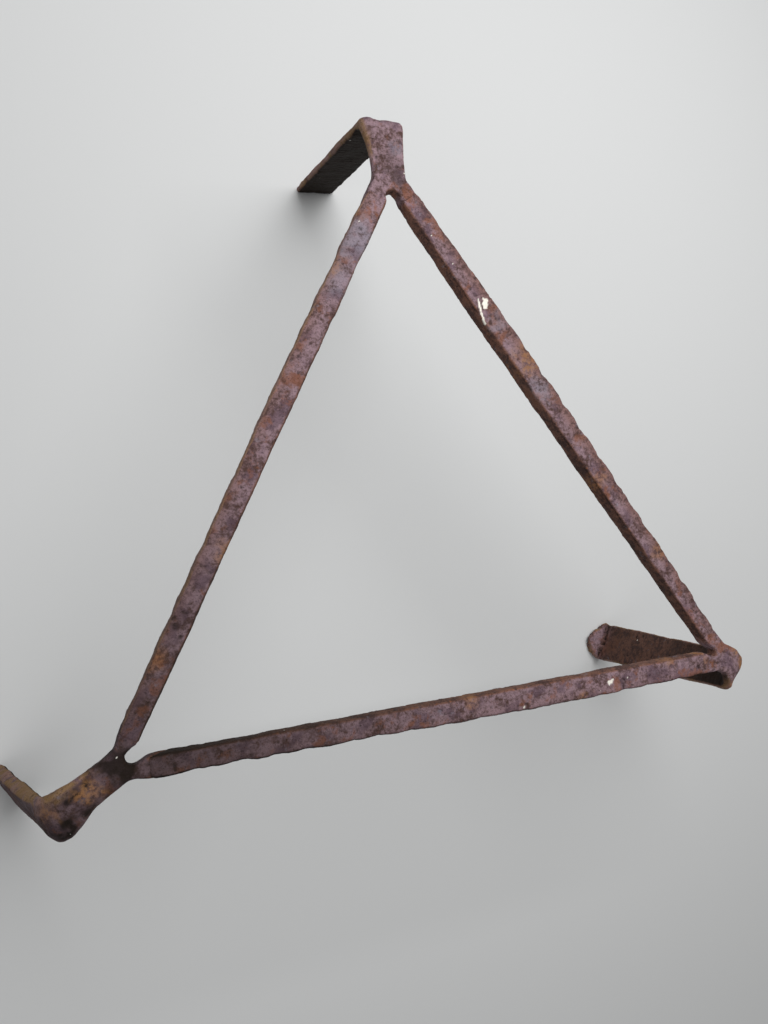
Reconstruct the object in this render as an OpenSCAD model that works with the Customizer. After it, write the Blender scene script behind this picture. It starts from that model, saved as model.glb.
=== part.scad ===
// Hand-forged three-legged fire trivet: a triangle of three bars on three strap legs.
// Each leg strap is forked at its top, and each prong of the fork meets the end of a rail in a
// sloping scarf, where the smith forge-welded the two. Nothing on it moves.
// Millimetres, +Z up, feet on the floor at z = 0, +X along the front rail, +Y towards the back leg.

/* [Triangle] */
// Length of the front side, from corner point to corner point
front_side = 400; // [340:5:480]
// Length of the left side
left_side = 380; // [340:5:480]
// Length of the right side
right_side = 390; // [340:5:480]
// Height of the pot-bearing top face above the floor
height = 175; // [120:5:220]

/* [Rails] */
// Width of a rail, seen from above
rail_w = 14; // [11:0.5:16]
// Thickness of a rail, top to bottom
rail_t = 12; // [8:0.5:14]
// Distance from a corner point to the middle of a scarf, along the rail
scarf_at = 26; // [26:1:60]
// Run of the sloping scarf face along the rail
scarf_run = 12; // [4:1:12]

/* [All legs] */
// Width of a strap at its bend
bend_w = 27; // [24:1:32]
// Radius of the round end of the slot between two prongs
slot_r = 3; // [2:0.5:4]

/* [Back leg] */
// Thickness of the strap
back_t = 5; // [4:0.5:8]
// Width of the neck between the fork and the bend
back_neck = 22; // [16:1:24]
// Width of the foot
back_foot = 31; // [24:1:40]
// Flat shoulder from the corner point to the start of the bend
back_shoulder = 24; // [2:1:40]
// Outer radius of the bend
back_bend = 12; // [10:1:30]
// Outward splay from the vertical, in degrees
back_splay = 13; // [0:0.5:20]
// Sideways lean in degrees, positive to the right when seen from outside
back_lean = -3.5; // [-6:0.5:6]
// How far the strap sits to the right of the middle of its corner, seen from outside
back_offset = 0; // [-5:0.5:5]
// Distance from the corner point to the end of the slot between the prongs
back_slot = 13; // [9:1:16]

/* [Left leg] */
// Thickness of the strap
left_t = 8; // [4:0.5:8]
// Width of the neck between the fork and the bend
left_neck = 17; // [16:1:24]
// Width of the foot
left_foot = 31; // [24:1:40]
// Flat shoulder from the corner point to the start of the bend
left_shoulder = 16; // [2:1:40]
// Outer radius of the bend
left_bend = 25; // [10:1:30]
// Outward splay from the vertical, in degrees
left_splay = 12.5; // [0:0.5:20]
// Sideways lean in degrees, positive to the right when seen from outside
left_lean = -2.5; // [-6:0.5:6]
// How far the strap sits to the right of the middle of its corner, seen from outside
left_offset = 2.5; // [-5:0.5:5]
// Distance from the corner point to the end of the slot between the prongs
left_slot = 10; // [9:1:16]

/* [Right leg] */
// Thickness of the strap
right_t = 6; // [4:0.5:8]
// Width of the neck between the fork and the bend
right_neck = 19; // [16:1:24]
// Width of the foot
right_foot = 32; // [24:1:40]
// Flat shoulder from the corner point to the start of the bend
right_shoulder = 5; // [2:1:40]
// Outer radius of the bend
right_bend = 12; // [10:1:30]
// Outward splay from the vertical, in degrees
right_splay = 3; // [0:0.5:20]
// Sideways lean in degrees, positive to the right when seen from outside
right_lean = 4.5; // [-6:0.5:6]
// How far the strap sits to the right of the middle of its corner, seen from outside
right_offset = -4; // [-5:0.5:5]
// Distance from the corner point to the end of the slot between the prongs
right_slot = 10; // [9:1:16]
// Length of the foot's end that curls inwards along the floor
right_toe = 15; // [4:1:16]

/* [Hidden] */
$fn = 64;
rail_colour = [0.36, 0.26, 0.25];
leg_colour = [0.42, 0.28, 0.20];

// The scarf runs down from the rail's top edge to the prong's bottom edge
scarf_top = scarf_at - scarf_run / 2;
scarf_bottom = scarf_at + scarf_run / 2;
// Flats that round the bend
bend_steps = 12;
// How far a curled toe is rooted in its strap, and how far its sides stay inside the strap's
toe_root = 2;
toe_inset = 1;

// Interior angle of the triangle between sides a and b, opposite side c
function interior(a, b, c) = acos((a * a + b * b - c * c) / (2 * a * b));
left_angle = interior(front_side, left_side, right_side);
right_angle = interior(front_side, right_side, left_side);
back_angle = interior(left_side, right_side, front_side);

// A corner is its point, the heading of its outward bisector and its interior angle,
// here with the left corner at the origin
left_corner = [[0, 0], 180 + left_angle / 2, left_angle];
right_corner = [[front_side, 0], -right_angle / 2, right_angle];
back_corner = [
    left_side * [cos(left_angle), sin(left_angle)], left_angle + back_angle / 2, back_angle
];

// A leg is its corner, the section of its strap, its course, and its place on the corner
back = [
    back_corner, [back_t, back_neck, back_foot],
    [back_shoulder, back_bend, back_splay, back_lean], [back_offset, back_slot]
];
left = [
    left_corner, [left_t, left_neck, left_foot],
    [left_shoulder, left_bend, left_splay, left_lean], [left_offset, left_slot]
];
right = [
    right_corner, [right_t, right_neck, right_foot],
    [right_shoulder, right_bend, right_splay, right_lean], [right_offset, right_slot]
];

function corner_point(leg) = leg[0][0];
function heading(leg) = leg[0][1];
function half_angle(leg) = leg[0][2] / 2;
function strap_t(leg) = leg[1][0];
function neck_w(leg) = leg[1][1];
function foot_w(leg) = leg[1][2];
function shoulder(leg) = leg[2][0];
function outer_r(leg) = leg[2][1];
function inner_r(leg) = outer_r(leg) - strap_t(leg);
function splay(leg) = leg[2][2];
function off_middle(leg) = leg[3][0];
function slot_at(leg) = leg[3][1];
function bend_z(leg) = height - outer_r(leg);
// How far the foot is off the strap's middle, because of the lean
function foot_shift(leg) = tan(leg[2][3]) * bend_z(leg);
// Where the inner edges of the two rails would meet, inwards from the corner point
function crotch(leg) = rail_w / 2 / sin(half_angle(leg));

// How far out from the corner point the strap face at bend radius r reaches the floor
function sole(leg, r) =
    shoulder(leg) + r * cos(splay(leg)) + (bend_z(leg) + r * sin(splay(leg))) * tan(splay(leg));
function sole_point(leg, r, side) =
    corner_point(leg)
    + sole(leg, r) * [cos(heading(leg)), sin(heading(leg))]
    + (off_middle(leg) + foot_shift(leg) + side * foot_w(leg) / 2)
        * [-sin(heading(leg)), cos(heading(leg))];

// The model is centred on the box around its soles
soles = [
    for (leg = [back, left, right], r = [inner_r(leg), outer_r(leg)], side = [-1, 1])
        sole_point(leg, r, side)
];
sole_x = [for (p = soles) p[0]];
sole_y = [for (p = soles) p[1]];
centre = [min(sole_x) + max(sole_x), min(sole_y) + max(sole_y)] / 2;

// Draws its children with the corner point at the origin and +X outwards
module at_corner(leg) translate(corner_point(leg) - centre) rotate(heading(leg)) children();

// A flat outline in the vertical plane through +X, made into a slab of the given width
module upright(width) translate([0, width / 2, 0]) rotate([90, 0, 0]) linear_extrude(width) children();

// Points of the bend at radius r, turning through the given angles
function bend(leg, r, turns) = [
    for (a = turns) [shoulder(leg) + r * cos(a), bend_z(leg) + r * sin(a)]
];

// A leg seen from the side, outwards to the right: shoulder, bend and strap, cut flat at the floor
module side_view(leg) {
    fork_at = -crotch(leg);
    step = (90 - splay(leg)) / bend_steps;
    polygon(concat(
        [[fork_at, height]],
        bend(leg, outer_r(leg), [90:-step:splay(leg)]),
        [[sole(leg, outer_r(leg)), 0], [sole(leg, inner_r(leg)), 0]],
        bend(leg, inner_r(leg), [splay(leg):step:90]),
        [[0, height - strap_t(leg)], [fork_at, height - rail_t]]
    ));
}

// A strap seen from outside: it widens from the bend to the foot
module front_view(leg) {
    bend_edge = [-bend_w / 2, bend_w / 2] + off_middle(leg) * [1, 1];
    foot_edge = [-foot_w(leg) / 2, foot_w(leg) / 2] + (off_middle(leg) + foot_shift(leg)) * [1, 1];
    polygon([
        [bend_edge[0], height], [bend_edge[0], bend_z(leg)], [foot_edge[0], 0],
        [foot_edge[1], 0], [bend_edge[1], bend_z(leg)], [bend_edge[1], height]
    ]);
}

// The shoulder seen from above: the neck, then a flare into the bend, and all of the leg beyond it
module shoulder_view(leg) {
    half_neck = neck_w(leg) / 2;
    bend_edge = [-bend_w / 2, bend_w / 2] + off_middle(leg) * [1, 1];
    flare_at = shoulder(leg) / 3;
    flare_end = shoulder(leg) + outer_r(leg) / 2;
    far = height * 2;
    polygon([
        [-crotch(leg), half_neck], [flare_at, half_neck], [flare_end, bend_edge[1]],
        [flare_end, far], [far, far], [far, -far], [flare_end, -far],
        [flare_end, bend_edge[0]], [flare_at, -half_neck], [-crotch(leg), -half_neck]
    ]);
}

module strap(leg) {
    intersection() {
        upright(height) side_view(leg);
        rotate([90, 0, 90]) translate([0, 0, -height]) linear_extrude(height * 3) front_view(leg);
        linear_extrude(height) shoulder_view(leg);
    }
}

// One prong of the fork, its lower lip running on under the rail
module prong(turn) {
    rotate(turn) upright(rail_w) polygon([
        [0, height], [scarf_top, height], [scarf_bottom, height - rail_t], [0, height - rail_t]
    ]);
}

// The round-ended slot between the prongs
module slot(leg) {
    middle = slot_at(leg) + slot_r;
    linear_extrude(height) {
        translate([-middle, 0]) circle(slot_r);
        translate([-middle - scarf_bottom, -slot_r]) square([scarf_bottom, 2 * slot_r]);
    }
}

// The end of a foot, curled inwards along the floor, with a round tip
module curled_toe(leg, reach) {
    half_width = foot_w(leg) / 2 - toe_inset;
    tip = sole(leg, inner_r(leg)) - reach;
    middle = off_middle(leg) + foot_shift(leg);
    color(leg_colour) at_corner(leg) linear_extrude(strap_t(leg)) intersection() {
        translate([tip + half_width, middle]) circle(half_width);
        translate([tip, middle - half_width]) square([reach + toe_root, 2 * half_width]);
    }
}

module forked_leg(leg) {
    color(leg_colour) at_corner(leg) difference() {
        union() {
            strap(leg);
            prong(180 - half_angle(leg));
            prong(180 + half_angle(leg));
        }
        slot(leg);
    }
}

// A straight bar between two corner points, scarfed at both ends to lie on the prongs
module rail(from, to) {
    run = corner_point(to) - corner_point(from);
    length = norm(run);
    color(rail_colour) translate(corner_point(from) - centre) rotate(atan2(run[1], run[0]))
        upright(rail_w) polygon([
            [scarf_top, height], [length - scarf_top, height],
            [length - scarf_bottom, height - rail_t], [scarf_bottom, height - rail_t]
        ]);
}

module front_rail() rail(left, right);
module left_rail() rail(left, back);
module right_rail() rail(right, back);
module back_leg() forked_leg(back);
module left_leg() forked_leg(left);
module right_leg() {
    forked_leg(right);
    curled_toe(right, right_toe);
}

front_rail();
left_rail();
right_rail();
back_leg();
left_leg();
right_leg();
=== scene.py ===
"""Hand-forged three-legged fire trivet: rusted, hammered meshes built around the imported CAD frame."""

import itertools
import math

import bpy
import numpy as np
from mathutils import Matrix, Vector


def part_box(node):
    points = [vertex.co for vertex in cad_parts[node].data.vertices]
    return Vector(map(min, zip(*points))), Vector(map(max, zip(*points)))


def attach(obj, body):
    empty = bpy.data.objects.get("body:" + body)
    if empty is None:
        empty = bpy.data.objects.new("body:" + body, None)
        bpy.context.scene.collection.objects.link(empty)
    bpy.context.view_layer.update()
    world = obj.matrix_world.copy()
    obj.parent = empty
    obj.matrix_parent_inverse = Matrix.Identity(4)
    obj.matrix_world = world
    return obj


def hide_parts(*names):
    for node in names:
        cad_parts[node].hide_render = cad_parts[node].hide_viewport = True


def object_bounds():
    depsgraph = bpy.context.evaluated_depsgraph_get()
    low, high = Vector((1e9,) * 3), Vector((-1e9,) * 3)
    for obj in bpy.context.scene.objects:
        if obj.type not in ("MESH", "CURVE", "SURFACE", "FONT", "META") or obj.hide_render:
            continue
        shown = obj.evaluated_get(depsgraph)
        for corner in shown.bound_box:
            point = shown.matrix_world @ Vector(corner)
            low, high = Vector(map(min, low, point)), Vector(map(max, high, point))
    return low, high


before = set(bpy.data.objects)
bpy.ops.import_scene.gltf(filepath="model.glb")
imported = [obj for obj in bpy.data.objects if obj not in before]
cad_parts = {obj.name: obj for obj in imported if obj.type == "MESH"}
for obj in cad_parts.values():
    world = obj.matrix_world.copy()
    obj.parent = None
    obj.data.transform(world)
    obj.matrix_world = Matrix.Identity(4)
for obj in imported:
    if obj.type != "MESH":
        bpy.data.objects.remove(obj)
cad_low, cad_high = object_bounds()

# ---------------------------------------------------------------- sizes, in metres

FRONT_SIDE = 0.400
LEFT_SIDE = 0.380
RIGHT_SIDE = 0.390
HEIGHT = cad_high.z
RAIL_W = 0.014
RAIL_T = 0.012
SCARF_TOP = 0.020
SCARF_BOTTOM = 0.032

# Size of the faces of a finished skin, and of those of the shapes it is drawn over
FACE = 0.00065
STEP = 0.0010
# Radius of the bars' worn arrises
ARRIS = 0.0018
# How far a rail's ends run into the forks that they are welded to
OVERLAP = 0.0007
# Width of the slope beaten along a strap's edge
BEVEL_W = 0.0065
# How far the nominal top lies under the CAD top, so that bumps stay inside the CAD box
SPARE = 0.0005
TOP = HEIGHT - SPARE
FULL_T = RAIL_T - SPARE
# Distance between hammer blows along an edge
BLOW_PITCH = 0.021
# How far a strap runs on under the floor before its sole is cut flat
SOLE_CUT = 0.002
# A strap starts this share of the way from its corner to the slot
STRAP_START = 0.8
# Radius of a curled toe's middle line, length over which its end narrows, and how much and how
# sharply it narrows on its two sides
TOE_R = 0.005
TOE_TAPER = 0.012
TOE_NARROW = (0.011, 0.016)
TOE_ROUND = (1.6, 1.1)
# Heights between which the looks of a curled toe give way to those of the foot
TOE_TOP = 0.008
FOOT_FROM = 0.022
# Heights under which a curled toe is ragged at all, and in full
TORN_TOP = 0.014
TORN_FULL = 0.007
# Half length of the thickening at a bend, half width of the place where it is driven outwards, depths
# under the top at which that starts and is full, and length below the bend over which the slopes
# along the edges fade out
UPSET_REACH = 0.022
KNEE_W = 0.008
KNEE_FROM = 0.032
KNEE_FULL = 0.012
BEVEL_FADE = 0.030
# How far a prong's waist lies behind the slot's middle, and how far it reaches
WAIST_BACK = 0.001
WAIST_REACH = 0.005
# Half width, half height and depth of the fold along a bar's inner arris, and how far it lies in from
# the bar's side and down from its top
FOLD_W = 0.0009
FOLD_H = 0.0011
FOLD_DEPTH = 0.0007
FOLD_IN = 0.0006
FOLD_DOWN = 0.0020
# Heights of the broad and the small swell that forging leaves, depth and spacing of the hammer's
# blows, and the lift of the whole skin that makes up for them
BROAD_SWELL = 0.00038
SMALL_SWELL = 0.00030
BLOW_DEPTH = 0.00045
BLOW_SPACING = 0.014
SKIN_LIFT = 0.00012
# Depths of the pits and pores that rust has eaten, and heights of the plates and grain of its scale
PIT_DEPTH = 0.00050
PORE_DEPTH = 0.00026
PLATE_HEIGHT = 0.00014
GRAIN_HEIGHT = 0.00005
# Depth of the layers that rust opens on a leg's inner face, their spacing down it, and how slowly they
# change across it
LAYER_DEPTH = 0.00022
LAYER_PITCH = 0.0019
LAYER_STRETCH = 0.18
# Rounds of smoothing for a new skin, for the normals that it is moved along, for the shape that tells
# what stands out, and for the normals that soot and marks go by
SKIN_ROUNDS = 8
NORMAL_ROUNDS = 3
BULGE_ROUNDS = 10
BROAD_ROUNDS = 6
# Ochre dabs reach this far under the top, and fade out below that
DAB_DEPTH = 0.04
DAB_FADE = 0.02
# Shifts the noise, so that pale dabs are ragged in their own way
PALE_SHIFT = 0.05
# How dark the painted shade is at the left corner, where the light falls off, and how far from it that
# shows
LEFT_CORNER_SHADE = 0.40
LEFT_CORNER_SHADE_REACH = 0.22


def interior(a, b, c):
    """The angle of a triangle between sides a and b, opposite side c."""
    return math.acos((a * a + b * b - c * c) / (2 * a * b))


def flat(angle):
    """The horizontal unit vector at an angle from +X."""
    return np.array([math.cos(angle), math.sin(angle), 0.0])


LEFT_ANGLE = interior(FRONT_SIDE, LEFT_SIDE, RIGHT_SIDE)
RIGHT_ANGLE = interior(FRONT_SIDE, RIGHT_SIDE, LEFT_SIDE)
BACK_ANGLE = interior(LEFT_SIDE, RIGHT_SIDE, FRONT_SIDE)

rail_low, rail_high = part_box("front_rail")
LEFT_CORNER = np.array([rail_low.x - SCARF_TOP, (rail_low.y + rail_high.y) / 2, 0.0])
RIGHT_CORNER = LEFT_CORNER + FRONT_SIDE * flat(0)
BACK_CORNER = LEFT_CORNER + LEFT_SIDE * flat(LEFT_ANGLE)
MIDDLE = (LEFT_CORNER + RIGHT_CORNER + BACK_CORNER) / 3

# ---------------------------------------------------------------- repeatable noise


def hashed(cells, seed):
    """A repeatable number from 0 to 1 for each whole-number cell; the large odd numbers mix its bits."""
    x, y, z = (cells[..., axis].astype(np.uint32) for axis in range(3))
    mixed = x * np.uint32(374761393) + y * np.uint32(668265263) + z * np.uint32(2246822519)
    mixed = mixed + np.uint32(seed * 3266489917 % 2**32)
    mixed = (mixed ^ (mixed >> np.uint32(15))) * np.uint32(2246822519)
    mixed = (mixed ^ (mixed >> np.uint32(13))) * np.uint32(3266489917)
    return (mixed ^ (mixed >> np.uint32(16))) / np.float64(2**32 - 1)


def noise(points, size, seed):
    """Smooth noise from about -1 to 1, whose features are about as large as size."""
    at = points / size
    cell = np.floor(at).astype(np.int64)
    part = at - cell
    fade = part**3 * (part * (part * 6 - 15) + 10)
    total = np.zeros(len(points))
    for corner in itertools.product((0, 1), repeat=3):
        slope = np.stack([hashed(cell + corner, 3 * seed + axis) for axis in range(3)], axis=1)
        weight = np.prod(np.where(corner, fade, 1 - fade), axis=1)
        total += weight * np.sum((2 * slope - 1) * (part - corner), axis=1)
    return 1.8 * total


def scatter(points, size, seed):
    """Distance to the nearest of many scattered spots, in units of size, and that spot's own number."""
    at = points / size
    cell = np.floor(at).astype(np.int64)
    nearest = np.full(len(points), 9.0)
    own = np.zeros(len(points))
    for offset in itertools.product((-1, 0, 1), repeat=3):
        around = cell + offset
        spot = around + np.stack([hashed(around, 5 * seed + axis) for axis in range(3)], axis=1)
        distance = np.linalg.norm(spot - at, axis=1)
        closer = distance < nearest
        nearest = np.where(closer, distance, nearest)
        own = np.where(closer, hashed(around, 5 * seed + 3), own)
    return nearest, own


def ramp(values, low, high):
    """0 below low, 1 above high, and smooth in between."""
    part = np.clip((values - low) / (high - low), 0, 1)
    return part * part * (3 - 2 * part)


# ---------------------------------------------------------------- meshes


def outline(width, thickness):
    """Points round the square from -1 to 1, evenly spaced on a section of this width and thickness."""
    corners = np.array([[-1, -1], [1, -1], [1, 1], [-1, 1], [-1, -1]])
    lengths = np.cumsum([0, width, thickness, width, thickness])
    walk = np.linspace(0, lengths[-1], int(lengths[-1] / STEP), endpoint=False)
    return np.stack([np.interp(walk, lengths, corners[:, axis]) for axis in (0, 1)], axis=1)


def sections(square, left, right, thick, radius):
    """Rectangles with round corners, drawn over a square outline.

    left and right are the distances of the two sides from the middle line, thick is the thickness.
    """
    half = np.stack(np.broadcast_arrays((left + right) / 2, thick / 2), axis=-1)
    flat_sided = square * half
    core = np.clip(flat_sided, radius - half, half - radius)
    away = flat_sided - core
    reach = np.linalg.norm(away, axis=-1, keepdims=True)
    around = core + away * (radius / np.maximum(reach, 1e-9))
    around[..., 0] += (right - left) / 2
    return around


def tube(rings):
    """Vertices and faces of the closed tube through an array of rings of points."""
    count, around = rings.shape[:2]
    index = np.arange(count * around).reshape(count, around)
    ahead = np.roll(index, -1, axis=1)
    sides = np.stack([index[:-1], ahead[:-1], ahead[1:], index[1:]], axis=-1).reshape(-1, 4)
    caps = [index[0][::-1].tolist(), index[-1].tolist()]
    return rings.reshape(-1, 3), sides.tolist() + caps


def one_skin(name, tubes):
    """A new object: one evenly faced skin around the union of the tubes."""
    vertices = []
    faces = []
    for points, sides in tubes:
        faces += [[corner + len(vertices) for corner in side] for side in sides]
        vertices += points.tolist()
    mesh = bpy.data.meshes.new(name)
    mesh.from_pydata(vertices, [], faces)
    piece = bpy.data.objects.new(name, mesh)
    bpy.context.scene.collection.objects.link(piece)
    remesh = piece.modifiers.new("skin", "REMESH")
    remesh.mode = "VOXEL"
    remesh.voxel_size = FACE
    remesh.adaptivity = 0
    skin = bpy.data.meshes.new_from_object(piece.evaluated_get(bpy.context.evaluated_depsgraph_get()))
    piece.modifiers.clear()
    piece.data = skin
    skin.name = name
    bpy.data.meshes.remove(mesh)
    return piece


def get_points(mesh):
    points = np.empty(len(mesh.vertices) * 3)
    mesh.vertices.foreach_get("co", points)
    return points.reshape(-1, 3)


def set_points(mesh, points):
    mesh.vertices.foreach_set("co", points.ravel())
    mesh.update()


def get_normals(mesh):
    normals = np.empty(len(mesh.vertices) * 3)
    mesh.vertex_normals.foreach_get("vector", normals)
    return normals.reshape(-1, 3)


def get_edges(mesh):
    edges = np.empty(len(mesh.edges) * 2, np.int32)
    mesh.edges.foreach_get("vertices", edges)
    return edges.reshape(-1, 2)


def neighbours(values, edges):
    """The mean of each vertex's neighbours' values, column by column."""
    count = np.bincount(edges.ravel(), minlength=len(values))
    columns = []
    for column in values.T:
        total = np.bincount(edges[:, 0], column[edges[:, 1]], len(values))
        total += np.bincount(edges[:, 1], column[edges[:, 0]], len(values))
        columns.append(total / count)
    return np.stack(columns, axis=1)


def relax(values, edges, rounds):
    """Evens values out over the mesh."""
    for _ in range(rounds):
        values = (values + neighbours(values, edges)) / 2
    return values


def set_attribute(mesh, name, values):
    mesh.attributes.new(name, "FLOAT", "POINT").data.foreach_set("value", values.astype(np.float32))


# ---------------------------------------------------------------- the forged, rusted surface


def forged(points):
    """How far hammering lifts or sinks each point."""
    swell = BROAD_SWELL * noise(points, 0.034, 1) + SMALL_SWELL * noise(points, 0.014, 2)
    near, own = scatter(points, BLOW_SPACING, 3)
    blows = -BLOW_DEPTH * own * np.clip(1 - (near / 0.8) ** 2, 0, None)
    return swell + blows + SKIN_LIFT


def corroded(points):
    """How far rust has eaten into each point, and how far its scale stands up."""
    bent = points + 0.0012 * np.stack([noise(points, 0.004, seed) for seed in (11, 12, 13)], axis=1)
    where = ramp(noise(points, 0.026, 14), -0.25, 0.45)
    near, own = scatter(bent, 0.0055, 15)
    pits = ramp(own, 0.35, 0.9) * np.clip(1 - (near / 0.42) ** 2, 0, None) * (0.3 + 0.7 * where)
    near, own = scatter(bent, 0.0028, 16)
    pores = ramp(own, 0.45, 1.0) * np.clip(1 - (near / 0.45) ** 2, 0, None)
    plates = ramp(noise(bent, 0.0075, 17) + 0.4 * noise(bent, 0.0030, 18), 0.05, 0.22)
    grain = noise(points, 0.0021, 19)
    return PIT_DEPTH * pits + PORE_DEPTH * pores, PLATE_HEIGHT * plates + GRAIN_HEIGHT * grain


def finish_surface(piece, shape, painted_shading):
    """Hammers and corrodes a piece's skin, and stores what its material needs to know.

    shape moves the points before that, and painted_shading tells how much painted shade each of them
    gets. Both go by the points and their normals.
    """
    mesh = piece.data
    edges = get_edges(mesh)
    set_points(mesh, relax(get_points(mesh), edges, SKIN_ROUNDS))
    points = shape(get_points(mesh), relax(get_normals(mesh), edges, NORMAL_ROUNDS))
    set_points(mesh, points)
    normals = relax(get_normals(mesh), edges, NORMAL_ROUNDS)
    normals /= np.linalg.norm(normals, axis=1, keepdims=True)
    eaten, scale = corroded(points)
    points = points + normals * (forged(points) + scale - eaten)[:, None]
    points[:, 2] = np.clip(points[:, 2], 0, HEIGHT)
    set_points(mesh, points)
    normals = get_normals(mesh)
    bulge = np.sum((points - relax(points, edges, BULGE_ROUNDS)) * normals, axis=1)
    hollow = ramp(-bulge, 0.00007, 0.00026) + ramp(eaten, 0.0001, 0.0005)
    set_attribute(mesh, "worn", ramp(bulge, 0.00009, 0.00034))
    set_attribute(mesh, "hollow", np.clip(hollow, 0, 1))
    smooth = relax(normals, edges, BROAD_ROUNDS)
    # Painted shade, stored for the material to paint black
    set_attribute(mesh, "painted_shade", np.clip(painted_shading(points, smooth), 0, 1))
    mesh.shade_smooth()
    return points, smooth


def dabbed(points, x, y, dabs):
    """0 to 1: how far points at places x, y lie within ragged dabs, or more in very strong ones.

    Each dab has its place, its radius and its strength.
    """
    ragged = 0.50 * noise(points, 0.0070, 61) + 0.30 * noise(points, 0.0028, 62)
    total = np.zeros(len(points))
    for at_x, at_y, radius, strength in dabs:
        away = np.hypot(x - at_x, y - at_y) / radius + ragged
        total = np.maximum(total, strength * ramp(-away, -1.2, -0.2))
    return total


def streaked(points, x, y, streaks):
    """0 to 1: how far points at places x, y lie on streaks, each with its two ends and its half width."""
    ragged = 1 + 0.5 * noise(points, 0.0020, 63)
    total = np.zeros(len(points))
    for x1, y1, x2, y2, half in streaks:
        run = ((x - x1) * (x2 - x1) + (y - y1) * (y2 - y1)) / ((x2 - x1) ** 2 + (y2 - y1) ** 2)
        run = np.clip(run, 0, 1)
        away = np.hypot(x - x1 - run * (x2 - x1), y - y1 - run * (y2 - y1)) / half
        total = np.maximum(total, ramp(-away * ragged, -1.15, -0.8))
    return total


def offsets(points, origin, first, second):
    """How far each point lies from an origin in two directions."""
    return (points - origin) @ first, (points - origin) @ second


def marked(points, normals, face, x, y, marks):
    """Attributes for the marks of a piece whose points lie at places x, y.

    Ochre dabs lie high up, on faces that look up or towards face, and all round a fork's prongs. The
    pale ones, which are a painted sheen, and the paint lie on top.
    """
    top = ramp(normals[:, 2], 0.1, 0.5)
    prongs = ramp(-x, 0.008, 0.012)
    seen = np.maximum(ramp(normals[:, 2] + normals @ face, -0.2, 0.2), prongs)
    high = ramp(points[:, 2], HEIGHT - DAB_DEPTH - DAB_FADE, HEIGHT - DAB_DEPTH)
    return {
        "bloom": dabbed(points, x, y, marks["bloom"]) * seen * high,
        # pale: a painted bluish sheen on faces that look up
        "pale": dabbed(points + PALE_SHIFT, x, y, marks["pale"]) * top,
        "paint": streaked(points, x, y, marks["paint"]) * top,
    }


# ---------------------------------------------------------------- bars


def bar(start, along, outward, first, last, inner, outer, thickness):
    """A bar with round arrises, its top at the nominal height.

    first and last give the distance from start of its two ends at a depth under the top. inner,
    outer and thickness give its inner and outer half width and its thickness at such a distance.
    """
    square = outline(RAIL_W, RAIL_T)
    depth = RAIL_T * (1 - square[:, 1]) / 2
    count = int(last(0.0) / STEP)
    shares = np.linspace(0, 1, count)[:, None]
    x = first(depth) * (1 - shares) + last(depth) * shares
    thick = thickness(x)
    around = sections(square, inner(x), outer(x), thick, ARRIS)
    rings = start + x[..., None] * along + around[..., :1] * outward
    rings[..., 2] = TOP - thick / 2 + around[..., 1]
    return tube(rings)


def scarf(depth):
    """Distance from a corner point to the scarf, at a depth under the top."""
    return SCARF_TOP + (SCARF_BOTTOM - SCARF_TOP) * depth / RAIL_T


def bites(x, seed):
    """About 0 to 1: how deep the hammer has bitten into an edge at distances x along it."""
    line = np.stack([x, 0 * x, 0 * x], axis=-1).reshape(-1, 3)
    beat = line[:, 0] / BLOW_PITCH + 0.45 * noise(line, 0.045, seed)
    each = np.stack([np.round(beat), 0 * beat, 0 * beat], axis=-1).astype(np.int64)
    sharp = 1 - np.abs(np.sin(np.pi * beat)) ** 0.8
    ragged = 0.30 * noise(line, 0.0038, seed + 1)
    return (sharp * (0.35 + 0.75 * hashed(each, seed + 2)) + ragged).reshape(x.shape)


# ---------------------------------------------------------------- rails


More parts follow.
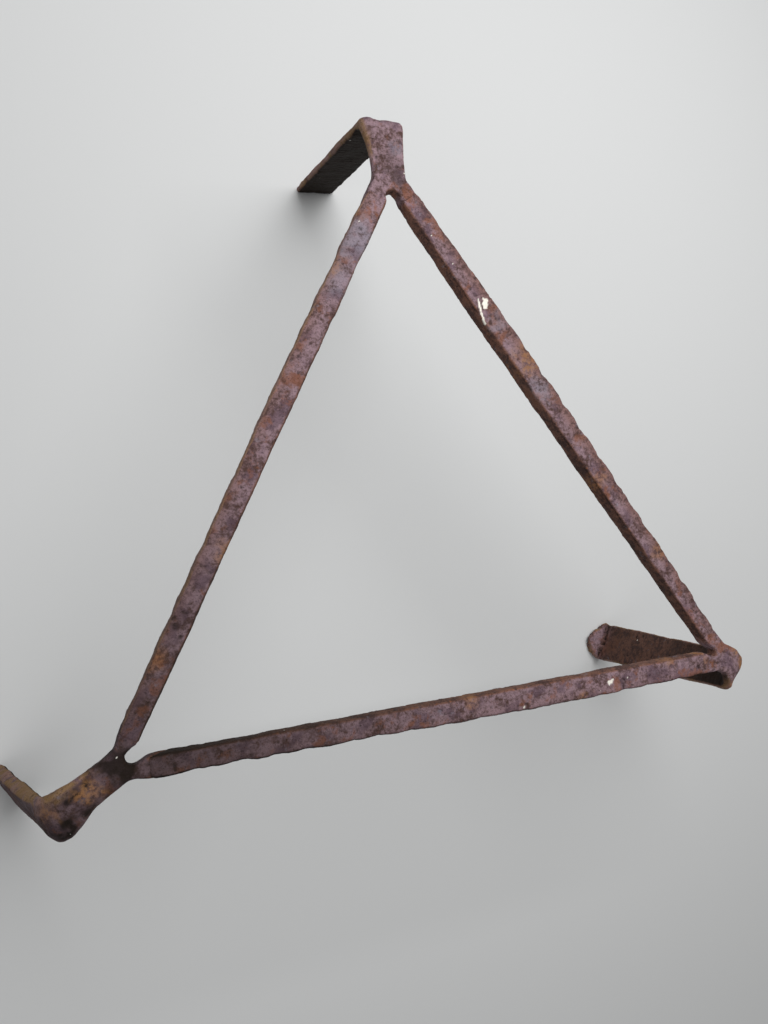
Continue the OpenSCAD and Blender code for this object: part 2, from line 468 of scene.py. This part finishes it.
def rail(name, rail_of):
    """A rail between two corner points, its edges uneven and its outer edge bitten by the hammer."""
    start, end = rail_of["from"], rail_of["to"]
    length = np.linalg.norm(end - start)
    along = (end - start) / length
    across = np.array([-along[1], along[0], 0.0])
    outward = across * np.sign(across @ (start - MIDDLE))
    quarters = np.linspace(0, 1, 5)

    def inner(x):
        return RAIL_W / 2 + np.interp(x / length, quarters, rail_of["inner"])

    def outer(x):
        depth = rail_of["bites"] * (1 - (1 - rail_of["far_bites"]) * ramp(x / length, 0.45, 0.8))
        bitten = depth * bites(x, rail_of["seed"])
        return RAIL_W / 2 + np.interp(x / length, quarters, rail_of["outer"]) - bitten

    body = bar(
        start,
        along,
        outward,
        lambda depth: scarf(depth) - OVERLAP,
        lambda depth: length - scarf(depth) + OVERLAP,
        inner,
        outer,
        lambda x: FULL_T - np.interp(x / length, quarters, rail_of["thin"]),
    )
    piece = one_skin("forged_" + name, [body])

    def creased(points, normals):
        """Presses a groove along the inner arris, where the hammer has folded the skin over."""
        x, y = offsets(points, start, along, outward)
        off_side = (-y - RAIL_W / 2 + FOLD_IN) / FOLD_W
        off_top = (points[:, 2] - TOP + FOLD_DOWN) / FOLD_H
        fold = np.exp(-(off_side**2) - off_top**2)
        broken = ramp(noise(points, 0.018, 41), -0.5, 0.3) * ramp(x, 0.03, 0.06)
        return points + FOLD_DEPTH * (fold * broken)[:, None] * outward

    # Painted shade: blackens the inner and outer sides, the underside and the rail towards the left
    # corner.
    def painted_shading(points, normals):
        share = (points - start) @ along / length
        inside = ramp(-normals @ outward, 0.25, 0.80) * np.interp(share, quarters, rail_of["painted_shade"])
        outside = ramp(normals @ outward, 0.30, 0.80) * rail_of["shade"]
        under = ramp(-normals[:, 2], 0.2, 0.7)
        falloff_shade = np.interp(share, quarters, rail_of["falloff_shade"])
        return np.maximum(inside + outside, 0.8 * under) + falloff_shade + shade_near_left_corner(points)

    points, normals = finish_surface(piece, creased, painted_shading)
    x, y = offsets(points, start, along, outward)
    attributes = marked(points, normals, -outward, x, y, rail_of)
    attributes["rim"] = ramp(normals @ outward, 0.45, 0.85) * rail_of["rim"]
    warm = rail_of["warm"] * ramp(y, -0.002, 0.006)
    attributes["bark"] = np.maximum(ramp(-normals @ outward, 0.15, 0.65), warm)
    return piece, attributes


def shade_near_left_corner(points):
    """Painted shade: how dark each point is made where the light falls off towards the left corner."""
    away = np.linalg.norm(points[:, :2] - LEFT_CORNER[:2], axis=1)
    return LEFT_CORNER_SHADE * ramp(-away, -LEFT_CORNER_SHADE_REACH, -0.02)


# ---------------------------------------------------------------- legs


def strap_path(leg):
    """The middle line of a leg's strap in the upright plane through its corner, as arrays.

    Along the line: distance outwards, height, the face's slope in radians, the distance gone, and
    the ends of its parts, which are shoulder, bend, drop and toe.
    """
    half = leg["thickness"] / 2
    tilt = math.radians(leg["splay"])
    turn = math.pi / 2 - tilt
    mid_r = leg["bend"] - half
    first_x = -STRAP_START * leg["slot"]
    level = leg["shoulder"] - first_x
    knee_z = TOP - half - mid_r * (1 - math.cos(turn))
    parts = [(level, 0), (mid_r * turn, turn)]
    if leg["toe"]:
        fall = knee_z - half - TOE_R * (math.cos(turn) + 1)
        curl = math.pi - turn
        parts += [(fall / math.cos(tilt), 0), (TOE_R * curl, curl), (leg["toe"], 0)]
    else:
        parts += [((knee_z + SOLE_CUT) / math.cos(tilt), 0)]
    ends = np.cumsum([0] + [length for length, _ in parts])
    slopes = np.cumsum([0] + [angle for _, angle in parts])
    gone = np.linspace(0, ends[-1], int(ends[-1] / STEP))
    slope = np.interp(gone, ends, slopes)
    stride = np.gradient(gone)
    x = first_x + np.cumsum(np.cos(slope) * stride) - stride[0]
    z = TOP - half - np.cumsum(np.sin(slope) * stride)
    return x, z, slope, gone, ends


def strap(leg):
    """The strap of a leg: neck, flare, bend and foot, thickening towards the fork."""
    x, z, slope, gone, ends = strap_path(leg)
    down = np.clip((gone - ends[2]) / (ends[3] - ends[2]), 0, 1)
    flare = ramp(gone, -x[0] + leg["shoulder"] / 3, ends[1] + 0.6 * (ends[2] - ends[1]))
    wide = leg["neck"] + (leg["bend_w"] - leg["neck"]) * flare + (leg["foot"] - leg["bend_w"]) * down
    lean = math.tan(math.radians(leg["lean"])) * np.clip(HEIGHT - leg["bend"] - z, 0, None)
    middle = leg["offset"] * flare + lean
    left = wide / 2 - middle
    right = wide / 2 + middle
    if leg["toe"]:
        share = np.clip((ends[-1] - gone) / TOE_TAPER, 0, 1)
        left -= TOE_NARROW[0] * (1 - share) ** TOE_ROUND[0]
        right -= TOE_NARROW[1] * (1 - share) ** TOE_ROUND[1]
    fork = 1 - ramp(gone, 0, -x[0])
    knee = np.exp(-(((gone - (ends[1] + ends[2]) / 2) / UPSET_REACH) ** 2))
    thick = leg["thickness"] + (FULL_T - leg["thickness"]) * fork + leg["upset"] * knee
    square = outline(leg["bend_w"], leg["thickness"])
    around = sections(square, left[:, None], right[:, None], thick[:, None], leg["arris"])
    beaten = leg["bevel"][0] * np.clip(1 - (around[..., 0] + left[:, None]) / BEVEL_W, 0, 1)
    beaten += leg["bevel"][1] * np.clip(1 - (right[:, None] - around[..., 0]) / BEVEL_W, 0, 1)
    bent = ramp(gone, 0.4 * ends[1], 0.9 * ends[1]) * (1 - ramp(gone, ends[2], ends[2] + BEVEL_FADE))
    around[..., 1] -= beaten * bent[:, None] * (square[:, 1] > 0)
    lift = around[..., 1] - (thick - leg["thickness"])[:, None] / 2
    rings = (
        leg["corner"]
        + (x[:, None] + lift * np.sin(slope)[:, None])[..., None] * leg["out"]
        + around[..., :1] * leg["across"]
    )
    rings[..., 2] = z[:, None] + lift * np.cos(slope)[:, None]
    return tube(rings)


def prong(leg, side):
    """One prong of a leg's fork, thickening from the strap towards the scarf, notched by the slot."""
    half = leg["angle"] / 2
    along = flat(leg["heading"] + math.pi + side * half)
    outward = flat(leg["heading"] + math.pi + side * (half + math.pi / 2))
    thin = leg["thickness"]
    slot_r = leg["slot_r"]
    slot_x = (leg["slot"] + slot_r) * math.cos(half)
    slot_y = (leg["slot"] + slot_r) * math.sin(half)
    rail_of, end = leg["rails"][side]
    full_inner = RAIL_W / 2 + RAILS[rail_of]["inner"][end]
    full_outer = RAIL_W / 2 + RAILS[rail_of]["outer"][end]
    full_t = FULL_T - RAILS[rail_of]["thin"][end]
    depth = full_inner - slot_y + slot_r
    mouth_end = slot_x + leg["mouth"]

    def inner(x):
        hollow = slot_y - np.sqrt(np.clip(slot_r**2 - (x - slot_x) ** 2, 0, None))
        hollow = np.where(np.abs(x - slot_x) < slot_r, np.minimum(full_inner, hollow), full_inner)
        mouth = full_inner - depth * (1 - ramp(x, slot_x, mouth_end))
        return np.where(x < slot_x, hollow, mouth)

    def outer(x):
        return full_outer - leg["waist"] * np.exp(-(((x - slot_x - WAIST_BACK) / WAIST_REACH) ** 2))

    return bar(
        leg["corner"],
        along,
        outward,
        lambda depth: 0 * depth,
        scarf,
        inner,
        outer,
        lambda x: thin + (full_t - thin) * ramp(x, 0, RAIL_W),
    )


def forked_leg(name, leg):
    """A whole leg: strap and fork in one skin."""
    leg["out"] = flat(leg["heading"])
    leg["across"] = flat(leg["heading"] + math.pi / 2)
    piece = one_skin("forged_" + name, [strap(leg), prong(leg, -1), prong(leg, 1)])

    def worked(points, normals):
        """Drives the knee out unevenly, layers the inner face and leaves a curled toe's end ragged."""
        x, y = offsets(points, leg["corner"], leg["out"], leg["across"])
        knee = ramp(points[:, 2], HEIGHT - KNEE_FROM, HEIGHT - KNEE_FULL) * ramp(x, 0.006, 0.014)
        push = leg["knee"] * np.exp(-(((y - leg["knee_y"]) / KNEE_W) ** 2))
        push -= leg["chip"] * ramp(y, 0.006, 0.011)
        push += 0.0007 * noise(points, 0.0085, 54)
        inside = ramp(-normals @ leg["out"], 0.5, 0.9)
        drawn_out = np.stack([LAYER_STRETCH * y, points[:, 2], LAYER_STRETCH * x], axis=1)
        layers = noise(drawn_out, LAYER_PITCH, 55)
        moved = points + (knee * push - LAYER_DEPTH * inside * layers)[:, None] * leg["out"]
        if leg["toe"]:
            end = ramp(-points[:, 2], -TORN_TOP, -TORN_FULL)
            torn = 0.0016 * noise(points, 0.0060, 51) + 0.0009 * noise(points, 0.0026, 52)
            moved += (end * torn)[:, None] * leg["out"]
            torn = 0.0010 * noise(points, 0.0050, 53)
            moved += (end * torn)[:, None] * leg["across"]
        return moved

    def rimmed(points, normals):
        x = (points - leg["corner"]) @ leg["out"]
        edges = normals @ leg["across"]
        sides = leg["rim"][0] * ramp(-edges, 0.30, 0.65) + leg["rim"][1] * ramp(edges, 0.30, 0.65)
        return sides * ramp(x, 0.002, 0.010)

    # Painted shade: blackens the inner face, most towards the bend, the undersides, the dark dabs and the
    # leg near the left corner, and spares the ochre rims.
    def painted_shading(points, normals):
        x, y = offsets(points, leg["corner"], leg["out"], leg["across"])
        inside = ramp(-normals @ leg["out"], 0.25, 0.65) * ramp(x, -0.004, 0.004)
        if leg["toe"]:
            inside *= 0.5 + 0.5 * ramp(points[:, 2], TOE_TOP, FOOT_FROM)
        low, high = leg["painted_shade"]
        under = ramp(-normals[:, 2], 0.2, 0.7)
        black = (low + (high - low) * ramp(points[:, 2], 0.08, 0.16)) * inside
        black += np.maximum(0.8 * under - inside, 0)
        # The dark dabs: painted shade along the left leg's edges, and dark scale on the forks
        black = np.maximum(black, dabbed(points, x, y, leg["dark"]))
        return (black + leg["falloff_shade"] + shade_near_left_corner(points)) * (1 - 0.85 * rimmed(points, normals))

    points, normals = finish_surface(piece, worked, painted_shading)
    x, y = offsets(points, leg["corner"], leg["out"], leg["across"])
    attributes = marked(points, normals, leg["out"], x, y, leg)
    attributes["rim"] = rimmed(points, normals)
    attributes["bark"] = ramp(-normals @ leg["out"], 0.15, 0.65)
    if leg["toe"]:
        attributes["bark"] *= 0.5 + 0.5 * ramp(points[:, 2], TOE_TOP, FOOT_FROM)
    return piece, attributes


# ---------------------------------------------------------------- materials


def tone(red, green, blue):
    """A colour from its 0 to 255 sRGB values, in the linear values that shaders take."""
    shares = [value / 255 for value in (red, green, blue)]
    linear = [part / 12.92 if part < 0.04045 else ((part + 0.055) / 1.055) ** 2.4 for part in shares]
    return (*linear, 1.0)


class Shading:
    """A material's node tree, with short calls for the nodes that the rust needs."""

    def __init__(self, name):
        self.material = bpy.data.materials.new(name)
        self.material.use_nodes = True
        self.tree = self.material.node_tree
        self.shader = self.tree.nodes["Principled BSDF"]
        self.place = self.node("ShaderNodeTexCoord").outputs["Object"]

    def node(self, kind, settings=(), **sockets):
        """A node with its settings; each socket gets a value or another node's output."""
        made = self.tree.nodes.new(kind)
        for name, value in dict(settings).items():
            setattr(made, name, value)
        for name, value in sockets.items():
            key = int(name[1:]) if name[0] == "_" else name
            self.put(made.inputs[key], value)
        return made

    def put(self, socket, value):
        if isinstance(value, bpy.types.NodeSocket):
            self.tree.links.new(value, socket)
        else:
            socket.default_value = value

    def math(self, operation, first, second):
        return self.node("ShaderNodeMath", {"operation": operation}, _0=first, _1=second).outputs[0]

    def noise(self, size, detail, roughness, seed):
        """Noise whose features are about as large as size, in metres."""
        shift = (seed, seed, -seed)
        moved = self.node("ShaderNodeVectorMath", {"operation": "ADD"}, _0=self.place, _1=shift)
        made = self.node(
            "ShaderNodeTexNoise",
            Vector=moved.outputs[0],
            Scale=1 / size,
            Detail=detail,
            Roughness=roughness,
        )
        return made.outputs["Fac"]

    def spots(self, size):
        """Distance to scattered spots, and each spot's own colour."""
        made = self.node("ShaderNodeTexVoronoi", Vector=self.place, Scale=1 / size)
        return made.outputs["Distance"], made.outputs["Color"]

    def ramp(self, value, low, high):
        """0 below low, 1 above high; low may be the larger, which turns it round."""
        made = self.node("ShaderNodeMapRange", {"interpolation_type": "SMOOTHSTEP"}, Value=value)
        made.inputs["From Min"].default_value = low
        made.inputs["From Max"].default_value = high
        return made.outputs["Result"]

    def patches(self, size, detail, roughness, seed, between, share):
        """Scattered patches of noise between two levels, each as strong as share."""
        spread = self.ramp(self.noise(size, detail, roughness, seed), *between)
        return self.math("MULTIPLY", spread, share)

    def stored(self, name):
        return self.node("ShaderNodeAttribute", {"attribute_name": name}).outputs["Fac"]

    def mix(self, share, first, second):
        made = self.node("ShaderNodeMix", {"data_type": "RGBA"})
        self.put(made.inputs[0], share)
        self.put(made.inputs[6], first)
        self.put(made.inputs[7], second)
        return made.outputs[2]


MAUVE = tone(141, 117, 124)
PLUM = tone(92, 73, 84)
UMBER = tone(77, 56, 52)
BRICK = tone(128, 82, 63)
BARK = tone(118, 82, 66)
TAN = tone(160, 126, 98)
OCHRE = tone(140, 110, 72)
ROSE = tone(150, 118, 106)
ORANGE = tone(146, 92, 58)
# Near black: the dark grain and hollows of the scale, and painted shade
BLACK_SCALE_AND_SHADE = tone(24, 17, 11)
# Slate grey: patches of scale, and the painted sheen of the pale dabs
SLATE_AND_SHEEN = tone(134, 130, 142)
CREAM = tone(236, 231, 220)


def scale_colour(s, blotch):
    """Mauve scale over umber, with plum and brick patches, and browner where it is barky."""
    colour = s.mix(s.ramp(blotch, 0.39, 0.58), UMBER, MAUVE)
    colour = s.mix(s.patches(0.014, 4.0, 0.6, 8.0, (0.50, 0.62), 0.65), colour, PLUM)
    colour = s.mix(s.patches(0.017, 5.0, 0.66, 4.0, (0.53, 0.63), 0.70), colour, BRICK)
    bark = s.mix(s.ramp(blotch, 0.42, 0.56), UMBER, BARK)
    return s.mix(s.math("MULTIPLY", s.stored("bark"), 0.9), colour, bark)


def weathered(s, colour, blotch, crust_colour):
    """Adds fresh orange rust on worn places, crust along the rims and slate-grey patches, which are scale
    all over and a painted sheen where the pale dabs lie.
    """
    worn = s.ramp(s.stored("worn"), 0.1, 0.9)
    fresh = s.math("MULTIPLY", s.patches(0.009, 5.0, 0.65, 5.0, (0.48, 0.60), 0.6), worn)
    colour = s.mix(fresh, colour, ORANGE)
    rimmed = s.math("MULTIPLY", s.patches(0.010, 5.0, 0.65, 6.0, (0.32, 0.48), 0.85), s.stored("rim"))
    crust = s.mix(s.patches(0.020, 4.0, 0.6, 9.0, (0.46, 0.56), 1.0), crust_colour, ROSE)
    colour = s.mix(rimmed, colour, crust)
    dabs = s.math("MULTIPLY", s.stored("pale"), s.ramp(blotch, 0.35, 0.52))
    pale = s.math("MAXIMUM", s.patches(0.007, 4.0, 0.6, 7.0, (0.62, 0.72), 0.4), dabs)
    return s.mix(pale, colour, SLATE_AND_SHEEN)


def blackened(s, colour, fine, grain):
    """Darkens the grain and the hollows, and blackens the places of painted shade, patchily where the
    shade is thin.
    """
    painted_shade = s.stored("painted_shade")
    colour = s.mix(s.math("MULTIPLY", s.ramp(grain, 0.52, 0.70), 0.58), colour, BLACK_SCALE_AND_SHADE)
    colour = s.mix(s.math("MULTIPLY", s.stored("hollow"), 0.7), colour, BLACK_SCALE_AND_SHADE)
    # Painted shade: black in full where it is strong, in patches where it is weak
    covered = s.math("MAXIMUM", s.ramp(fine, 0.15, 0.50), s.ramp(painted_shade, 0.70, 0.95))
    return s.mix(s.math("MULTIPLY", s.math("MULTIPLY", painted_shade, covered), 0.97), colour, BLACK_SCALE_AND_SHADE)


def flecked(s, colour):
    """Adds rare cream flecks and the marks of white paint."""
    spot, own = s.spots(0.004)
    rare = s.ramp(s.node("ShaderNodeSeparateColor", Color=own).outputs[0], 0.985, 0.992)
    fleck = s.math("MULTIPLY", s.ramp(spot, 0.16, 0.10), rare)
    return s.mix(s.math("MAXIMUM", fleck, s.stored("paint")), colour, CREAM)


def rust(name, crust_colour):
    """Old rust: scale, crust, painted shade, ochre bloom, a painted sheen and paint flecks, dull and
    finely rough.
    """
    s = Shading(name)
    broad = s.noise(0.011, 5.0, 0.62, 1.0)
    fine = s.noise(0.0028, 6.0, 0.7, 2.0)
    grain = s.noise(0.0009, 3.0, 0.6, 3.0)
    blotch = s.math("ADD", s.math("MULTIPLY", broad, 0.45), s.math("MULTIPLY", fine, 0.55))
    colour = weathered(s, scale_colour(s, blotch), blotch, crust_colour)
    colour = blackened(s, colour, fine, grain)
    bloom = s.math("MULTIPLY", s.stored("bloom"), s.ramp(fine, 0.36, 0.60))
    colour = flecked(s, s.mix(bloom, colour, s.mix(broad, ORANGE, OCHRE)))
    rough = s.node("ShaderNodeMapRange", Value=fine, _3=0.62, _4=0.95).outputs[0]
    relief = s.math("ADD", s.math("MULTIPLY", fine, 0.6), s.math("MULTIPLY", grain, 0.4))
    bump = s.node("ShaderNodeBump", Strength=1.0, Distance=0.0009, Height=relief)
    s.put(s.shader.inputs["Base Color"], colour)
    s.put(s.shader.inputs["Roughness"], rough)
    s.put(s.shader.inputs["Specular IOR Level"], 0.14)
    s.put(s.shader.inputs["Normal"], bump.outputs[0])
    return s.material


def plain(name, colour):
    """A matt, even surface, for the floor."""
    s = Shading(name)
    s.shader.inputs["Base Color"].default_value = colour
    s.shader.inputs["Roughness"].default_value = 0.9
    return s.material


# ---------------------------------------------------------------- the pieces

# A rail runs between two corners. inner and outer tell how far its edges stand out from the
# nominal ones at its start, its quarters and its end, and thin how much of its thickness is hammered
# away there. bites is the depth of the hammer's bites into its outer edge, and far_bites the share
# of it that is left towards its end. painted_shade and falloff_shade tell how much painted shade
# blackens its inner side and the whole of it at the same places, rim how tan its outer side is and
# shade how much painted shade blackens that side, and warm how brown the outer half of its top. bloom
# and pale are dabs of ochre and of slate grey, the slate a painted sheen on top faces, and paint is
# streaks, all placed by the distance along the rail and outwards from its middle line.
RAILS = {
    "front_rail": {
        "from": LEFT_CORNER,
        "to": RIGHT_CORNER,
        "inner": (-0.0008, -0.0008, -0.0006, -0.0002, 0.0),
        "thin": (0.0015, 0.0, 0.0, 0.0, 0.001),
        "outer": (-0.0016, -0.0008, 0.0006, 0.0014, 0.0),
        "rim": 0.15,
        "shade": 0.55,
        "warm": 0.15,
        "bites": 0.0009,
        "far_bites": 1.0,
        "painted_shade": (0.25, 0.18, 0.08, 0.0, 0.0),
        "falloff_shade": (0.42, 0.25, 0.10, 0.0, 0.0),
        "bloom": ((0.283, 0.0062, 0.004, 0.9), (0.352, -0.007, 0.006, 0.6), (0.205, -0.004, 0.006, 0.6)),
        "pale": (),
        "paint": (
            (0.3030, 0.0005, 0.3045, 0.0005, 0.0014),
            (0.3170, 0.0, 0.3175, 0.0, 0.0005),
            (0.2395, 0.0055, 0.2400, 0.0055, 0.0006),
        ),
        "seed": 31,
    },
    "left_rail": {
        "from": LEFT_CORNER,
        "to": BACK_CORNER,
        "inner": (0.0, 0.0, -0.0002, 0.0002, 0.0002),
        "thin": (0.001, 0.0, 0.0, 0.0, 0.0015),
        "outer": (-0.0026, -0.0014, -0.0004, 0.0, -0.0004),
        "rim": 0.9,
        "shade": 0.0,
        "warm": 0.45,
        "bites": 0.0005,
        "far_bites": 1.0,
        "painted_shade": (0.50, 0.30, 0.10, 0.10, 0.10),
        "falloff_shade": (0.18, 0.10, 0.02, 0.0, 0.0),
        "bloom": ((0.305, 0.006, 0.006, 0.5), (0.062, 0.006, 0.009, 0.5), (0.128, -0.006, 0.007, 0.6)),
        "pale": ((0.328, 0.0015, 0.016, 0.6), (0.300, 0.001, 0.012, 0.4)),
        "paint": ((0.3380, 0.0035, 0.3385, 0.0035, 0.0003),),
        "seed": 61,
    },
    "right_rail": {
        "from": RIGHT_CORNER,
        "to": BACK_CORNER,
        "inner": (-0.0008, -0.0007, -0.0004, -0.0005, -0.0014),
        "thin": (0.001, 0.0, 0.0, 0.0, 0.0015),
        "outer": (-0.0012, 0.0008, 0.0024, 0.0018, -0.0006),
        "rim": 0.4,
        "shade": 0.30,
        "warm": 0.65,
        "bites": 0.0017,
        "far_bites": 0.35,
        "painted_shade": (0.25, 0.30, 0.15, 0.0, 0.0),
        "falloff_shade": (0.0, 0.0, 0.0, 0.0, 0.0),
        "bloom": ((0.245, 0.0050, 0.012, 0.75), (0.154, -0.004, 0.008, 0.6), (0.090, 0.003, 0.007, 0.5)),
        "pale": ((0.226, -0.001, 0.010, 0.5), (0.276, 0.001, 0.008, 0.4)),
        "paint": (
            (0.2915, 0.0030, 0.2900, 0.0010, 0.0018),
            (0.2900, 0.0010, 0.2885, 0.0, 0.0013),
            (0.2950, -0.0010, 0.2880, -0.0040, 0.0006),
            (0.2880, -0.0040, 0.2800, -0.0065, 0.0005),
            (0.3430, -0.0025, 0.3435, -0.0025, 0.0003),
            (0.3220, -0.0015, 0.3225, -0.0015, 0.0003),
        ),
        "seed": 91,
    },
}
# A leg is given by its strap's sizes and the slot of its fork. waist narrows the prongs beside the
# slot, mouth is the length over which the slot opens, upset thickens the bend, bevel is the depth of
# the slopes beaten along the strap's two edges, arris is the radius of its arrises, knee drives the
# bend outwards round knee_y, chip cuts its far corner back and toe is the length of a curled toe.
# rails names the rail on each side and which of its ends is met. painted_shade tells how much painted
# shade blackens the inner face at the foot and at the top, falloff_shade how much painted shade darkens
# all of the leg, and rim how ochre its two sides are. dark, bloom and pale are dabs of black, ochre and
# slate grey, and paint is streaks, all placed by the distance outwards from the corner and across the
# leg. The dark dabs paint shade along the left leg's edges and stand for dark scale on the forks; the
# pale ones are a painted sheen on top faces.
LEGS = {
    "back_leg": {
        "corner": BACK_CORNER,
        "heading": LEFT_ANGLE + BACK_ANGLE / 2,
        "angle": BACK_ANGLE,
        "thickness": 0.005,
        "neck": 0.022,
        "bend_w": 0.028,
        "foot": 0.031,
        "shoulder": 0.024,
        "bend": 0.012,
        "splay": 13,
        "lean": -3.5,
        "offset": 0.0,
        "slot": 0.013,
        "slot_r": 0.0046,
        "waist": 0.0,
        "mouth": 0.0055,
        "upset": 0.0030,
        "bevel": (0.0, 0.0026),
        "arris": 0.0020,
        "rails": {1: ("right_rail", -1), -1: ("left_rail", -1)},
        "knee": 0.0026,
        "knee_y": 0.0120,
        "chip": 0.0,
        "toe": 0.0,
        "painted_shade": (1.0, 1.0),
        "falloff_shade": 0.0,
        "rim": (0.4, 0.75),
        "dark": ((-0.0035, -0.0050, 0.009, 0.45), (0.006, -0.001, 0.007, 0.30)),
        "bloom": ((0.016, 0.012, 0.006, 0.3),),
        "pale": ((0.014, -0.006, 0.006, 0.4),),
        "paint": (),
    },
    "left_leg": {
        "corner": LEFT_CORNER,
        "heading": math.pi + LEFT_ANGLE / 2,
        "angle": LEFT_ANGLE,
        "thickness": 0.008,
        "neck": 0.017,
        "bend_w": 0.025,
        "foot": 0.031,
        "shoulder": 0.016,
        "bend": 0.025,
        "splay": 12.5,
        "lean": -2.5,
        "offset": 0.0025,
        "slot": 0.010,
        "slot_r": 0.0042,
        "waist": 0.0012,
        "mouth": 0.009,
        "upset": 0.0,
        "bevel": (0.0030, 0.0010),
        "arris": 0.0020,
        "rails": {1: ("left_rail", 0), -1: ("front_rail", 0)},
        "knee": 0.0028,
        "knee_y": 0.0045,
        "chip": 0.0,
        "toe": 0.0,
        "painted_shade": (0.9, 0.9),
        "falloff_shade": 0.22,
        "rim": (1.0, 0.2),
        "dark": (
            (-0.0075, 0.0005, 0.014, 0.36),
            (0.028, 0.0120, 0.009, 0.45),
            (0.014, 0.0110, 0.008, 0.40),
            (0.0105, -0.0050, 0.004, 0.40),
            (0.0160, -0.0045, 0.004, 0.40),
            (0.0220, -0.0040, 0.004, 0.35),
        ),
        "bloom": ((0.0105, -0.001, 0.008, 0.75), (0.032, -0.003, 0.006, 0.5)),
        "pale": (),
        "paint": ((-0.0080, -0.0050, -0.0085, -0.0050, 0.0003),),
    },
    "right_leg": {
        "corner": RIGHT_CORNER,
        "heading": -RIGHT_ANGLE / 2,
        "angle": RIGHT_ANGLE,
        "thickness": 0.006,
        "neck": 0.019,
        "bend_w": 0.027,
        "foot": 0.032,
        "shoulder": 0.005,
        "bend": 0.012,
        "splay": 3,
        "lean": 4.5,
        "offset": -0.004,
        "slot": 0.010,
        "slot_r": 0.0025,
        "waist": 0.0,
        "mouth": 0.009,
        "upset": 0.0,
        "bevel": (0.0, 0.0),
        "arris": 0.0014,
        "rails": {1: ("front_rail", -1), -1: ("right_rail", 0)},
        "knee": 0.0036,
        "knee_y": 0.001,
        "chip": 0.0075,
        "toe": 0.010,
        "painted_shade": (0.35, 0.95),
        "falloff_shade": 0.0,
        "rim": (0.7, 0.8),
        "dark": (),
        "bloom": (
            (-0.023, -0.004, 0.008, 0.9),
            (0.014, 0.008, 0.009, 1.4),
            (0.020, 0.004, 0.007, 1.5),
            (0.016, -0.015, 0.007, 1.2),
        ),
        "pale": (),
        "paint": (),
    },
}


def place(node, made, material):
    """Gives a piece its attributes and material, ties it to the root body and hides the CAD node that it
    stands for.
    """
    piece, attributes = made
    for name, values in attributes.items():
        set_attribute(piece.data, name, values)
    piece.data.materials.append(material)
    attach(piece, "root")
    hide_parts(node)


bar_rust = rust("bar_rust", TAN)
strap_rust = rust("strap_rust", OCHRE)
for node, rail_of in RAILS.items():
    place(node, rail(node, rail_of), bar_rust)
for node, leg in LEGS.items():
    place(node, forked_leg(node, leg), strap_rust)

# ---------------------------------------------------------------- floor, light and camera

FLOOR_HALF = 4.0
CAMERA_AT = Vector((-0.181, -0.0815, 0.605))
CAMERA_AIM = Vector((-0.0175, -0.0575, 0.175))
CAMERA_UP = Vector((0.082, 0.993, 0.087))
CAMERA_LENS = 27.8
KEY_AT = (0.22, 0.42, 1.05)
KEY_AIM = (0.20, 0.34, 0.0)
KEY_SIZE = 0.9
KEY_POWER = 13.8
FILL_AT = (-0.75, -0.60, 0.95)
FILL_AIM = (0.0, 0.0, 0.1)
FILL_SIZE = 1.0
FILL_POWER = 2.5
SKY_STRENGTH = 0.155


def floor():
    """A large pale floor to stand on, which is not part of the model."""
    corners = [(x * FLOOR_HALF, y * FLOOR_HALF, 0) for x, y in ((-1, -1), (1, -1), (1, 1), (-1, 1))]
    mesh = bpy.data.meshes.new("floor")
    mesh.from_pydata(corners, [], [(0, 1, 2, 3)])
    mesh.materials.append(plain("pale_floor", tone(205, 206, 206)))
    made = bpy.data.objects.new("floor", mesh)
    bpy.context.scene.collection.objects.link(made)


def aimed(back, up):
    """The turn of a camera or lamp that looks against back, with up upwards."""
    z = back.normalized()
    x = up.cross(z).normalized()
    return Matrix((x, z.cross(x), z)).transposed().to_quaternion()


def softbox(name, at, towards, size, power):
    """A square lamp at one place, aimed at another."""
    lamp = bpy.data.lights.new(name, "AREA")
    lamp.size = size
    lamp.energy = power
    made = bpy.data.objects.new(name, lamp)
    made.location = at
    made.rotation_mode = "QUATERNION"
    made.rotation_quaternion = aimed(Vector(at) - Vector(towards), Vector((0, 1, 0)))
    bpy.context.scene.collection.objects.link(made)


def camera():
    data = bpy.data.cameras.new("camera")
    data.lens = CAMERA_LENS
    made = bpy.data.objects.new("camera", data)
    made.location = CAMERA_AT
    made.rotation_mode = "QUATERNION"
    made.rotation_quaternion = aimed(CAMERA_AT - CAMERA_AIM, CAMERA_UP)
    bpy.context.scene.collection.objects.link(made)
    bpy.context.scene.camera = made


def surroundings(strength):
    """Even white light from all sides."""
    world = bpy.data.worlds.new("studio")
    world.use_nodes = True
    background = world.node_tree.nodes["Background"]
    background.inputs["Color"].default_value = (1, 1, 1, 1)
    background.inputs["Strength"].default_value = strength
    bpy.context.scene.world = world


floor()
softbox("key", KEY_AT, KEY_AIM, KEY_SIZE, KEY_POWER)
softbox("fill", FILL_AT, FILL_AIM, FILL_SIZE, FILL_POWER)
surroundings(SKY_STRENGTH)
camera()
bpy.context.scene.view_settings.view_transform = "Standard"
